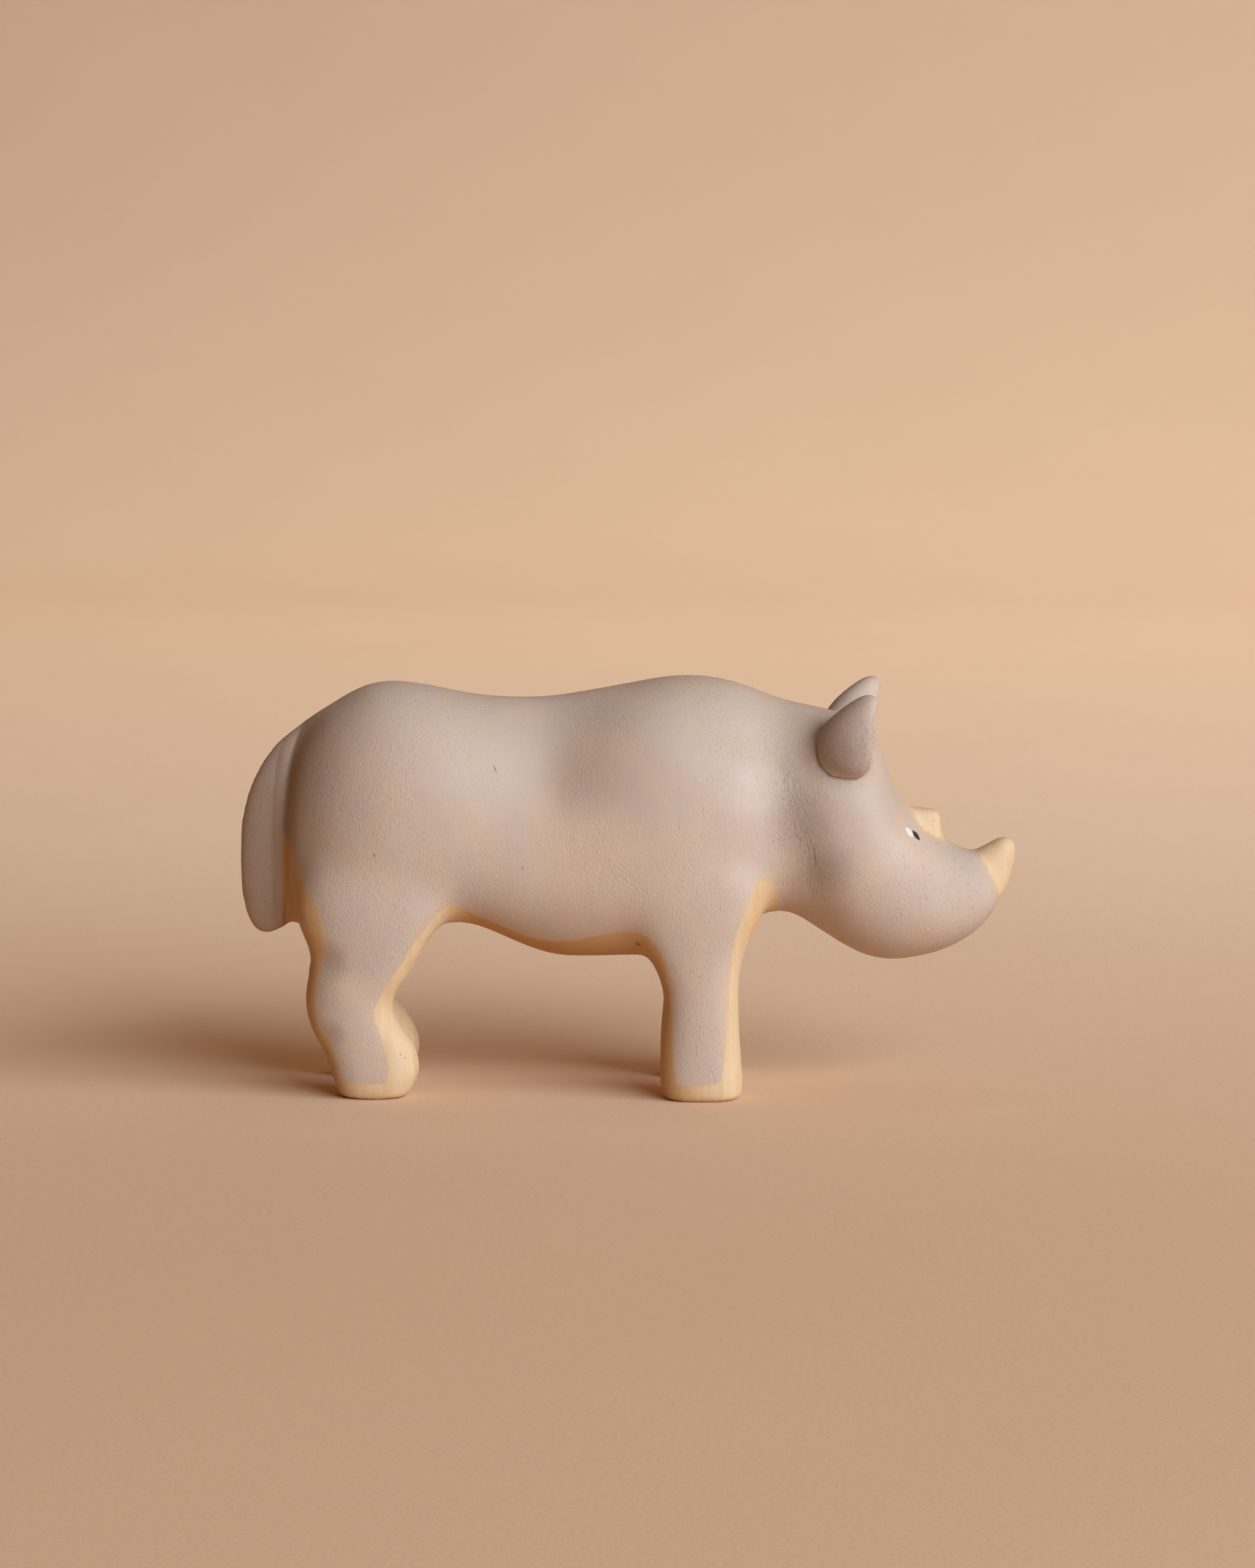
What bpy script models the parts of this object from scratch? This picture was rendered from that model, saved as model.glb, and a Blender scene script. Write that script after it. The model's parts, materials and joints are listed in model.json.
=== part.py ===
"""A rhinoceros carved from one thick board, standing on four flat feet.

Metres, +Z up. The animal faces +X and its left side is +Y.
The origin is on the ground under the middle of the figure.

The side outline is cut first and then rounded over, as a carver does it: the trunk and head are one
loft, the legs are four posts let into it, and the ears, horns and tail are lofts that grow out of it.
All of them are fused into one body and worn smooth. Free-form stations are per cent of the length
(from the tail), of the height (from the ground) and of half the thickness of the board.
"""

import math

import bmesh
import bpy
import numpy as np
from mathutils import Matrix

# Driving dimensions of the blank
LENGTH = 0.160  # back of the tail to the tip of the front horn
HEIGHT = 0.0854  # ground to the top of the shoulder hump
THICKNESS = 0.042  # board, across the shoulders

# Legs
LEG_GAP = 0.0110  # clear space between the left and the right legs
LEFT_HIND_LAG = 0.0011  # the left hind leg is carved this much further back
SOLE_EDGE = 0.0016  # wood left below the sole, planed off flat at the end

# Ears, horns and tail
EAR_SCOOP_WIDTH = 0.0062  # mouth of the hollow in the front of an ear
EAR_SCOOP_DEPTH = 0.0034
EAR_FLARE = 0.26  # an ear swings out by this share of the way towards its front
LEFT_EAR_LEAD = 0.0015  # the left ear is carved this much further forward
LEFT_EAR_LIFT = 0.0007  # and this much higher
FRONT_HORN_WIDTH = 0.0078
REAR_HORN_WIDTH = 0.0068
TAIL_WIDTH = 0.0100
TAIL_BELT = 0.12  # the tail is widest at this share of the way out from its inner edge

# Finish of the carving
BLOCK_VOXEL = 0.0010
DETAIL_VOXEL = 0.0008
BLOCK_WEAR = 9  # rounds of smoothing over the trunk and legs
ROOT_WEAR = 45  # further rounds where the legs run into the trunk
DETAIL_WEAR = 3  # rounds that soften the ears, horns and tail
KEPT_FACES = 0.072  # share of the fine triangles kept in the finished solid

RING_POINTS = 40
RINGS_PER_STATION = 4

# Trunk and head, rump to nose: top point, bottom point, half width, roundness above, roundness below
TRUNK = [
    ((5.6, 61.5), (5.6, 48.5), 16, 2.0, 2.0),
    ((6.2, 70.5), (6.1, 42.0), 32, 2.0, 2.1),
    ((7.1, 80.2), (7.0, 39.8), 53, 2.0, 2.2),
    ((9.1, 87.7), (8.9, 38.4), 70, 2.0, 2.4),
    ((12.4, 93.8), (12.4, 37.6), 86.5, 2.05, 2.6),
    ((16.1, 97.5), (17.0, 37.6), 96, 2.1, 2.7),
    ((19.9, 98.8), (21.7, 38.6), 100, 2.15, 2.7),
    ((25.5, 97.4), (26.9, 40.6), 98, 2.15, 2.7),
    ((30.1, 95.6), (30.6, 40.0), 94, 2.05, 2.7),
    ((35.3, 95.0), (34.8, 36.4), 90, 1.85, 2.7),
    ((40.4, 95.4), (39.5, 32.9), 88.5, 1.75, 2.7),
    ((45.1, 96.6), (43.3, 32.1), 92, 1.95, 2.8),
    ((49.8, 98.0), (48.9, 32.5), 97, 2.3, 2.8),
    ((54.0, 99.5), (54.0, 33.0), 100, 2.35, 2.7),
    ((58.2, 100.2), (59.8, 35.8), 98, 2.2, 2.6),
    ((62.6, 99.4), (65.6, 41.1), 89.5, 2.05, 2.5),
    ((66.0, 97.3), (70.4, 43.2), 75.5, 2.0, 2.4),
    ((69.4, 94.8), (74.2, 39.2), 73, 2.05, 2.3),
    ((73.4, 92.9), (77.6, 35.0), 81.5, 2.15, 2.3),
    ((78.0, 90.8), (80.2, 32.5), 83.5, 2.15, 2.3),
    ((81.6, 86.2), (82.0, 31.5), 80, 2.1, 2.3),
    ((83.2, 78.6), (84.2, 31.0), 77, 2.1, 2.3),
    ((84.9, 71.0), (86.8, 31.7), 71.5, 2.1, 2.3),
    ((87.4, 65.0), (89.7, 32.9), 66, 2.1, 2.3),
    ((90.2, 60.8), (92.5, 35.1), 58, 2.1, 2.3),
    ((93.0, 58.3), (95.0, 38.1), 49, 2.1, 2.2),
    ((95.3, 56.8), (96.8, 41.7), 38, 2.1, 2.2),
    ((96.9, 53.0), (97.8, 44.7), 26, 2.0, 2.0),
    ((97.8, 49.4), (98.3, 46.8), 12, 2.0, 2.0),
]

# Legs, ground upwards: height, back, front, outer face
REAR_LEG = [
    (0.0, 13.5, 21.9, 87),
    (1.6, 12.9, 22.5, 89),
    (3.6, 12.5, 23.2, 91),
    (6.6, 12.1, 23.7, 91),
    (9.5, 11.6, 23.6, 90),
    (12.6, 10.7, 22.9, 89),
    (15.9, 9.7, 21.7, 89),
    (19.4, 9.1, 20.2, 90),
    (22.9, 8.8, 20.0, 91),
    (26.3, 8.9, 21.1, 92),
    (29.8, 9.4, 22.5, 94),
    (33.3, 9.8, 23.6, 96),
    (36.8, 9.3, 24.6, 98),
    (40.3, 8.2, 25.8, 99),
    (45.6, 7.6, 27.5, 99),
    (52.8, 8.4, 27.5, 96),
    (60.0, 10.4, 26.0, 84),
]
FRONT_LEG = [
    (0.0, 54.7, 64.8, 98),
    (2.0, 54.4, 65.0, 99),
    (6.9, 54.2, 64.9, 98),
    (12.1, 54.3, 64.6, 96),
    (17.9, 54.6, 64.5, 95),
    (23.1, 54.8, 64.4, 95),
    (27.2, 54.5, 64.4, 96),
    (30.8, 53.7, 64.6, 97),
    (34.9, 52.6, 65.1, 98),
    (39.0, 51.2, 66.2, 99),
    (43.6, 50.4, 67.4, 100),
    (52.8, 51.0, 67.2, 97),
    (60.0, 52.6, 64.5, 86),
]

# Ear, base upwards: height, back, front, inner face, outer face
EAR = [
    (77.6, 77.8, 80.0, 62, 80),
    (78.5, 75.9, 80.7, 52, 89),
    (80.2, 74.5, 81.4, 45, 95),
    (82.6, 73.9, 81.9, 43, 98.5),
    (85.4, 74.0, 82.1, 43, 99.5),
    (88.2, 74.5, 82.2, 45, 98),
    (91.0, 75.6, 82.2, 49, 94),
    (93.4, 77.0, 82.2, 54, 90),
    (95.4, 78.4, 82.1, 59, 86),
    (96.8, 79.6, 81.9, 64, 82),
    (97.5, 80.3, 81.4, 69, 77),
]

# Horns, root to tip: back point, front point, share of the full width
FRONT_HORN = [
    ((93.2, 53.8), (97.2, 45.1), 94),
    ((94.9, 57.9), (98.4, 46.7), 100),
    ((96.1, 59.0), (99.2, 49.9), 92),
    ((97.0, 60.0), (99.7, 53.4), 80),
    ((97.9, 60.9), (100.1, 57.5), 62),
    ((98.7, 61.3), (100.0, 59.8), 38),
]
REAR_HORN = [
    ((85.0, 61.0), (91.2, 58.5), 100),
    ((85.6, 65.6), (90.6, 61.5), 96),
    ((86.0, 67.8), (90.5, 65.6), 84),
    ((86.2, 68.5), (90.3, 67.6), 74),
]

# Tail, rump downwards: outer point, inner point, share of the full width
TAIL = [
    ((12.2, 93.8), (13.6, 87.7), 40),
    ((9.6, 91.8), (12.0, 83.6), 62),
    ((6.8, 87.1), (10.4, 79.5), 82),
    ((4.4, 82.6), (8.6, 76.4), 92),
    ((2.3, 76.6), (7.6, 72.3), 97),
    ((0.95, 70.3), (7.0, 66.7), 100),
    ((0.2, 63.7), (6.6, 61.0), 100),
    ((0.0, 57.5), (6.5, 55.9), 100),
    ((0.05, 51.4), (6.5, 50.2), 98),
    ((0.3, 46.0), (6.6, 44.2), 95),
    ((0.85, 41.5), (6.6, 40.1), 88),
    ((1.7, 38.5), (5.2, 38.5), 74),
    ((2.6, 37.1), (4.0, 37.3), 48),
]


def clear_scene():
    for old in list(bpy.data.objects):
        bpy.data.objects.remove(old, do_unlink=True)


def collection_named(name):
    made = bpy.data.collections.new(name)
    bpy.context.scene.collection.children.link(made)
    return made


def along(percent):
    """X of a station, from per cent of the length."""
    return (percent / 100 - 0.5) * LENGTH


def up(percent):
    """Z of a station, from per cent of the height."""
    return percent / 100 * HEIGHT


def across(percent):
    """Y of a station, from per cent of half the board."""
    return percent / 100 * THICKNESS / 2


def smooth_rows(rows):
    """The rows with more rows between them, on a curve that passes through every one of them."""
    table = np.array(rows, float)
    padded = np.vstack([2 * table[0] - table[1], table, 2 * table[-1] - table[-2]])
    made = []
    for i in range(len(table) - 1):
        before, start, end, after = padded[i : i + 4]
        for step in range(RINGS_PER_STATION):
            t = step / RINGS_PER_STATION
            made.append(
                0.5
                * (
                    2 * start
                    + (end - before) * t
                    + (2 * before - 5 * start + 4 * end - after) * t**2
                    + (3 * start - before - 3 * end + after) * t**3
                )
            )
    made.append(table[-1])
    return made


def rounded(angle, power):
    """Cosine and sine of an angle, bent from a circle towards a rounded rectangle."""
    bend = 2 / power
    cosine, sine = math.cos(angle), math.sin(angle)
    return (
        math.copysign(abs(cosine) ** bend, cosine),
        math.copysign(abs(sine) ** bend, sine),
    )


def ring_angles():
    return [2 * math.pi * i / RING_POINTS for i in range(RING_POINTS)]


def upright_ring(top, bottom, half_width, middle, power_above, power_below, belt=0.5):
    """A section that holds a top and a bottom point of the side outline, widest at the belt."""
    points = []
    for angle in ring_angles():
        power = power_above if math.sin(angle) >= 0 else power_below
        side, rise = rounded(angle, power)
        share = belt + rise * ((1 - belt) if rise >= 0 else belt)
        x = bottom[0] + (top[0] - bottom[0]) * share
        z = bottom[1] + (top[1] - bottom[1]) * share
        points.append((x, middle + side * half_width, z))
    return points


def level_ring(height, back, front, inner, outer, power):
    """A level section of a leg: a rounded rectangle."""
    points = []
    for angle in ring_angles():
        fore, side = rounded(angle, power)
        x = (back + front) / 2 + fore * (front - back) / 2
        y = (inner + outer) / 2 + side * (outer - inner) / 2
        points.append((x, y, height))
    return points


def loft(rings):
    """A closed mesh through the rings, capped at both ends."""
    shape = bmesh.new()
    loops = [[shape.verts.new(point) for point in ring] for ring in rings]
    for lower, upper in zip(loops, loops[1:]):
        for i in range(len(lower)):
            j = (i + 1) % len(lower)
            shape.faces.new((lower[i], lower[j], upper[j], upper[i]))
    shape.faces.new(reversed(loops[0]))
    shape.faces.new(loops[-1])
    bmesh.ops.recalc_face_normals(shape, faces=shape.faces)
    return shape


def object_from(shape, name, home):
    mesh = bpy.data.meshes.new(name)
    shape.to_mesh(mesh)
    shape.free()
    made = bpy.data.objects.new(name, mesh)
    home.objects.link(made)
    return made


def trunk(home):
    """The trunk, neck and head: one loft from the rump to the nose."""
    flat = [(*top, *bottom, *rest) for top, bottom, *rest in TRUNK]
    rings = []
    for top_x, top_z, low_x, low_z, wide, above, below in smooth_rows(flat):
        top = (along(top_x), up(top_z))
        bottom = (along(low_x), up(low_z))
        rings.append(upright_ring(top, bottom, across(wide), 0, above, below, belt=0.46))
    return object_from(loft(rings), "trunk_block", home)


def leg(rows, side, lag, name, home):
    """One leg, from just under the ground up into the trunk."""
    rings = []
    for height, back, front, outer in smooth_rows(rows):
        ring = level_ring(up(height), along(back), along(front), LEG_GAP / 2, across(outer), 2.9)
        rings.append([(x - lag, side * y, z) for x, y, z in ring])
    sole = [(x, y, -SOLE_EDGE) for x, y, z in rings[0]]
    return object_from(loft([sole, *rings]), name, home)


def ear(side, home):
    """One ear: a leaf that bulges outwards and narrows to a tip in front."""
    lead = LEFT_EAR_LEAD if side > 0 else 0
    lift = LEFT_EAR_LIFT if side > 0 else 0
    widest = max(row[2] for row in EAR)
    rings = []
    for height, back, front, inner, outer in smooth_rows(EAR):
        ring = level_ring(up(height), along(back), along(front), across(inner), across(outer), 2.2)
        flared = [(x, y + EAR_FLARE * (x - along(widest)), z) for x, y, z in ring]
        rings.append([(x + lead, side * y, z + lift) for x, y, z in flared])
    return object_from(loft(rings), "ear_block", home)


def ear_scoop(side, home):
    """The cutter for the hollow in the front of an ear."""
    lead = LEFT_EAR_LEAD if side > 0 else 0
    shape = bmesh.new()
    bmesh.ops.create_uvsphere(shape, u_segments=24, v_segments=16, radius=1)
    size = (EAR_SCOOP_DEPTH, EAR_SCOOP_WIDTH / 2, up(8.2))
    place = (
        Matrix.Translation((along(82.5) + lead, side * across(72), up(86.5)))
        @ Matrix.Rotation(math.radians(-5), 4, "Y")
        @ Matrix.Diagonal((*size, 1))
    )
    bmesh.ops.transform(shape, matrix=place, verts=shape.verts)
    return object_from(shape, "ear_scoop", home)


def spine_loft(rows, full_width, powers, belt, name, home):
    """A horn or the tail: sections between two edges of the side outline."""
    flat = [(*first, *second, wide) for first, second, wide in rows]
    rings = []
    for a_x, a_z, b_x, b_z, wide in smooth_rows(flat):
        first = (along(a_x), up(a_z))
        second = (along(b_x), up(b_z))
        half = full_width / 2 * wide / 100
        rings.append(upright_ring(first, second, half, 0, *powers, belt=belt))
    return object_from(loft(rings), name, home)


def evaluated_copy(source, name, home):
    """What the object's modifiers make of it, as a plain mesh of its own."""
    bpy.context.view_layer.update()
    graph = bpy.context.evaluated_depsgraph_get()
    mesh = bpy.data.meshes.new_from_object(source.evaluated_get(graph))
    made = bpy.data.objects.new(name, mesh)
    home.objects.link(made)
    return made


def worn_roots(block, name, home):
    """The block with its leg roots smoothed into the trunk, and the feet and the back left as cut."""
    roots = block.vertex_groups.new(name="leg roots")
    for vertex in block.data.vertices:
        rise = vertex.co.z / HEIGHT
        weight = min(1, max(0, (rise - 0.30) / 0.12)) * min(1, max(0, (0.74 - rise) / 0.16))
        weight *= min(1, max(0, (along(68) - vertex.co.x) / (0.04 * LENGTH)))
        if weight > 0:
            roots.add([vertex.index], weight, "REPLACE")
    soft = block.modifiers.new("root wear", "SMOOTH")
    soft.factor = 0.5
    soft.iterations = ROOT_WEAR
    soft.vertex_group = roots.name
    made = evaluated_copy(block, name, home)
    bpy.data.objects.remove(block, do_unlink=True)
    return made


def fused(pieces, voxel, wear, name, home):
    """The pieces as one skin, worn smooth."""
    shape = bmesh.new()
    for piece in pieces:
        shape.from_mesh(piece.data)
        bpy.data.objects.remove(piece, do_unlink=True)
    heap = object_from(shape, name + "_heap", home)
    skin = heap.modifiers.new("one skin", "REMESH")
    skin.mode = "VOXEL"
    skin.voxel_size = voxel
    soft = heap.modifiers.new("wear", "SMOOTH")
    soft.factor = 0.5
    soft.iterations = wear
    made = evaluated_copy(heap, name, home)
    bpy.data.objects.remove(heap, do_unlink=True)
    return made


def carve(body, cutter):
    cut = body.modifiers.new("scoop", "BOOLEAN")
    cut.operation = "DIFFERENCE"
    cut.solver = "EXACT"
    cut.object = cutter


def box(low, high, name, home):
    shape = bmesh.new()
    bmesh.ops.create_cube(shape, size=1)
    middle = [(a + b) / 2 for a, b in zip(low, high)]
    size = [b - a for a, b in zip(low, high)]
    place = Matrix.Translation(middle) @ Matrix.Diagonal((*size, 1))
    bmesh.ops.transform(shape, matrix=place, verts=shape.verts)
    return object_from(shape, name, home)


def wood(name, colour, roughness):
    made = bpy.data.materials.new(name)
    made.use_nodes = True
    shader = made.node_tree.nodes["Principled BSDF"]
    shader.inputs["Base Color"].default_value = (*colour, 1)
    shader.inputs["Roughness"].default_value = roughness
    shader.inputs["Metallic"].default_value = 0
    return made


def centre_on_ground(body):
    """Moves the mesh so that the figure's middle is over the origin."""
    xs = [vertex.co.x for vertex in body.data.vertices]
    shift = Matrix.Translation((-(min(xs) + max(xs)) / 2, 0, 0))
    body.data.transform(shift)


def main():
    clear_scene()
    figure = collection_named("rhinoceros_figurine")
    blocks = collection_named("blocks_and_cutters")

    block_pieces = [trunk(blocks)]
    for side in (-1, 1):
        hind_lag = LEFT_HIND_LAG if side > 0 else 0
        block_pieces.append(leg(REAR_LEG, side, hind_lag, "rear_leg_block", blocks))
        block_pieces.append(leg(FRONT_LEG, side, 0, "front_leg_block", blocks))
    block = fused(block_pieces, BLOCK_VOXEL, BLOCK_WEAR, "block", blocks)
    block = worn_roots(block, "worn_block", blocks)

    detail_pieces = [block]
    for side in (-1, 1):
        leaf = ear(side, blocks)
        scoop = ear_scoop(side, blocks)
        carve(leaf, scoop)
        detail_pieces.append(evaluated_copy(leaf, "ear", blocks))
        bpy.data.objects.remove(leaf, do_unlink=True)
        bpy.data.objects.remove(scoop, do_unlink=True)
    spines = (
        ("front_horn", FRONT_HORN, FRONT_HORN_WIDTH, (2.4, 2.4), 0.5),
        ("rear_horn", REAR_HORN, REAR_HORN_WIDTH, (3.2, 3.2), 0.5),
        ("tail", TAIL, TAIL_WIDTH, (1.7, 2.8), TAIL_BELT),
    )
    for name, rows, full_width, powers, belt in spines:
        detail_pieces.append(spine_loft(rows, full_width, powers, belt, name, blocks))
    body = fused(detail_pieces, DETAIL_VOXEL, DETAIL_WEAR, "rhinoceros", figure)
    centre_on_ground(body)

    fewer = body.modifiers.new("fewer faces", "DECIMATE")
    fewer.ratio = KEPT_FACES

    ground = box((-LENGTH, -LENGTH, -HEIGHT), (LENGTH, LENGTH, 0), "ground", blocks)
    ground.hide_render = True
    ground.display_type = "WIRE"
    plane = body.modifiers.new("plane the soles flat", "BOOLEAN")
    plane.operation = "DIFFERENCE"
    plane.solver = "EXACT"
    plane.object = ground

    body.data.materials.clear()
    body.data.materials.append(wood("stained_wood", (0.45, 0.36, 0.32), 0.6))
    body.data.shade_smooth()


main()
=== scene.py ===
import json
import math

import bmesh
import bpy
import numpy as np
from mathutils import Matrix, Vector

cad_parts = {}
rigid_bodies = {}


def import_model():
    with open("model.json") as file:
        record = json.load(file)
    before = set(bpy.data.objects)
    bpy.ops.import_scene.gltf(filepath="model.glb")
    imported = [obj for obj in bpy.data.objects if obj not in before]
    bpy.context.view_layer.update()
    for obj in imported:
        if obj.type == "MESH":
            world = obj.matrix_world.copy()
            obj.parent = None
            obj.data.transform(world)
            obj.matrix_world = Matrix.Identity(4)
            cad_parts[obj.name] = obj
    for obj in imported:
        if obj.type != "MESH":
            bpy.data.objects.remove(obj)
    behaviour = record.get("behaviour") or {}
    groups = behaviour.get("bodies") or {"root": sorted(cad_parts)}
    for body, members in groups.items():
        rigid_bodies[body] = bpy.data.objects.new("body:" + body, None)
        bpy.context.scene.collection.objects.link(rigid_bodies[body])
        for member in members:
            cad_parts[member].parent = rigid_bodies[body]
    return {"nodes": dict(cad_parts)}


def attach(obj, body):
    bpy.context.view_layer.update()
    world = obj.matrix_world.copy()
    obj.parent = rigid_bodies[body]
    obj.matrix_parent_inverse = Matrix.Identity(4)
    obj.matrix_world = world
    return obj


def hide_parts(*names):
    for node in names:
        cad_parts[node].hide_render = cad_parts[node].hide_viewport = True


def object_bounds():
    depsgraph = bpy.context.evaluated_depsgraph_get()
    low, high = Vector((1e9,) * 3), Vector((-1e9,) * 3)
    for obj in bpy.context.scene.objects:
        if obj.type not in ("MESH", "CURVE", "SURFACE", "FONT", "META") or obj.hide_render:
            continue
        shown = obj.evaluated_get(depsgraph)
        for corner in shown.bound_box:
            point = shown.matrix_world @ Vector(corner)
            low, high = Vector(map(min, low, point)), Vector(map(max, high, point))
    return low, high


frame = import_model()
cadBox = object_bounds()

# A carved and stained wooden rhinoceros on a tan paper sweep.
# Metres, +X towards the head, +Z up, and -Y is the near side, which faces the camera.
# Settings that end in Mm are in millimetres. A pair of numbers is where something
# starts and where it is full, unless its note says otherwise.

scene = bpy.context.scene
print("frame loaded:", sorted(frame["nodes"]))

perMetre = 1000          # millimetres
noiseMiddle = 0.5        # what a noise is on average


# small helpers for node trees

def addNode(tree, kind, inputs=None, **settings):
    made = tree.nodes.new(kind)
    for name, value in settings.items():
        setattr(made, name, value)
    for name, value in (inputs or {}).items():
        plug(tree, value, made.inputs[name])
    return made


def plug(tree, value, socket):
    # a socket is linked, anything else becomes the socket's own value
    if isinstance(value, bpy.types.NodeSocket):
        tree.links.new(value, socket)
    else:
        socket.default_value = value


def maths(tree, operation, a, b=0.0):
    return addNode(tree, "ShaderNodeMath", {0: a, 1: b}, operation=operation).outputs[0]


def product(tree, first, *others):
    for other in others:
        first = maths(tree, "MULTIPLY", first, other)
    return first


def joined(tree, x=0.0, y=0.0, z=0.0):
    return addNode(tree, "ShaderNodeCombineXYZ", {0: x, 1: y, 2: z}).outputs[0]


def split(tree, vector):
    return addNode(tree, "ShaderNodeSeparateXYZ", {0: vector}).outputs


def distance(tree, first, second):
    made = addNode(tree, "ShaderNodeVectorMath", {0: first, 1: second}, operation="DISTANCE")
    return made.outputs["Value"]


def scaled(tree, vector, scale):
    made = addNode(tree, "ShaderNodeVectorMath", {0: vector, "Scale": scale}, operation="SCALE")
    return made.outputs[0]


def stretched(tree, value, low, high, toLow=0.0, toHigh=1.0, soft=False):
    kind = "SMOOTHSTEP" if soft else "LINEAR"
    made = addNode(tree, "ShaderNodeMapRange",
                   {"Value": value, "From Min": low, "From Max": high, "To Min": toLow, "To Max": toHigh},
                   interpolation_type=kind, clamp=True)
    return made.outputs[0]


def blended(tree, share, first, second, how="MIX"):
    # a colour mix: its inputs 6 and 7 and its output 2 are the ones for colours
    made = addNode(tree, "ShaderNodeMix", {0: share, 6: first, 7: second}, data_type="RGBA", blend_type=how)
    return made.outputs[2]


def noise(tree, vector, scale, detail, rough, seed):
    made = addNode(tree, "ShaderNodeTexNoise",
                   {"Vector": vector, "W": seed, "Scale": scale, "Detail": detail, "Roughness": rough},
                   noise_dimensions="4D")
    return made.outputs[0]


def newMaterial(name):
    made = bpy.data.materials.new(name)
    made.use_nodes = True
    return made, made.node_tree, made.node_tree.nodes["Principled BSDF"]


# the carved body

carving = {
    "mergeGap": 0.000001,
    "skinVoxel": 0.000645,           # edge of the fine skin's squares
    "allOverWear": 7,                # rounds of smoothing everywhere
    "tipsSpared": 0.75,              # less of it at the tips of the ears and the front horn
    "earTipsAboveMm": (74, 80),
    "earTipsAheadMm": (40, 46),
    "hornTipAheadMm": (72, 76),
    "broadWear": 22,                 # further rounds on the trunk and legs
    "feetBelowMm": (4, 9),           # the soles, muzzle, horns, ears and tail are left out of them
    "muzzleAheadMm": (52, 60),
    "earsAboveMm": (64, 68),
    "earsAheadMm": (33, 38),
    "tailBehindMm": (-70, -64),
    "tailRootWear": 40,              # the tail grows out of the rump without a seam
    "tailRootAboveMm": (71, 77),
    "tailRootBehindMm": (52, 58),    # counted backwards from the middle
    "solesFlatBelowMm": 0.12,
}

toolMarks = {
    "Facet Size": 0.011,     # one sweep of the knife
    "Facet Depth": 0.00022,
    "Ridge Width": 0.0011,   # raised grain that the mesh can carry
    "Ridge Length": 0.0075,
    "Ridge Depth": 0.00005,
    "Seed": 4.0,
}

markNoise = {
    "facets": (1.0, 0.4),    # detail and roughness of each noise
    "ridges": (2.0, 0.5),
    "level": 0.55,           # above it the wood stands out, below it the wood falls in
}


def mergedCopy(node):
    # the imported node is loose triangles, so its copy is merged first
    shape = bmesh.new()
    shape.from_mesh(node.data)
    bmesh.ops.remove_doubles(shape, verts=shape.verts, dist=carving["mergeGap"])
    mesh = bpy.data.meshes.new("carvedBlank")
    shape.to_mesh(mesh)
    shape.free()
    made = bpy.data.objects.new("carvedRhinoceros", mesh)
    scene.collection.objects.link(made)
    return made


def applyModifiers(piece):
    bpy.context.view_layer.update()
    graph = bpy.context.evaluated_depsgraph_get()
    mesh = bpy.data.meshes.new_from_object(piece.evaluated_get(graph))
    piece.modifiers.clear()
    old = piece.data
    piece.data = mesh
    bpy.data.meshes.remove(old)


def fineSkin(piece):
    soft = piece.modifiers.new("round the flats", "SUBSURF")
    soft.levels = soft.render_levels = 1
    skin = piece.modifiers.new("fine skin", "REMESH")
    skin.mode = "VOXEL"
    skin.voxel_size = carving["skinVoxel"]
    applyModifiers(piece)


def vectorsOf(mesh, what):
    # the places ("co") or normals ("normal") of a mesh's points
    flat = np.empty(len(mesh.vertices) * 3)
    mesh.vertices.foreach_get(what, flat)
    return flat.reshape(-1, 3)


def putPlaces(mesh, places):
    mesh.vertices.foreach_set("co", places.ravel())
    mesh.update()


def keepValues(mesh, name, values):
    # the finish reads these from the mesh
    made = mesh.attributes.new(name, "FLOAT", "POINT")
    made.data.foreach_set("value", values.astype(np.float32))


def worn(places, edges, rounds, share):
    # each round moves a point half way to the middle of its neighbours, times its share
    first, second = edges
    count = len(places)
    neighbours = np.bincount(first, minlength=count) + np.bincount(second, minlength=count)
    for _ in range(rounds):
        for axis in range(3):
            line = places[:, axis]
            total = np.bincount(first, line[second], count) + np.bincount(second, line[first], count)
            places[:, axis] = line + 0.5 * share * (total / neighbours - line)
    return places


def between(values, low, high):
    # 0 below low, 1 above high, and smooth in the middle
    share = np.clip((values - low) / (high - low), 0, 1)
    return share * share * (3 - 2 * share)


def under(values, high, low):
    # 0 above high, 1 below low, and smooth in the middle
    return between(-values, -high, -low)


def smoothedBody(piece):
    mesh = piece.data
    ends = np.empty(len(mesh.edges) * 2, dtype=np.int64)
    mesh.edges.foreach_get("vertices", ends)
    edges = ends.reshape(-1, 2).T
    places = vectorsOf(mesh, "co")
    x, z = places[:, 0] * perMetre, places[:, 2] * perMetre
    earTips = between(z, *carving["earTipsAboveMm"]) * between(x, *carving["earTipsAheadMm"])
    tips = np.maximum(earTips, between(x, *carving["hornTipAheadMm"]))
    places = worn(places, edges, carving["allOverWear"], 1 - carving["tipsSpared"] * tips)
    broad = between(z, *carving["feetBelowMm"]) * (1 - between(x, *carving["muzzleAheadMm"]))
    broad *= 1 - between(z, *carving["earsAboveMm"]) * between(x, *carving["earsAheadMm"])
    broad *= between(x, *carving["tailBehindMm"])
    places = worn(places, edges, carving["broadWear"], broad)
    root = between(z, *carving["tailRootAboveMm"]) * between(-x, *carving["tailRootBehindMm"])
    places = worn(places, edges, carving["tailRootWear"], root)
    putPlaces(mesh, places)


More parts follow.
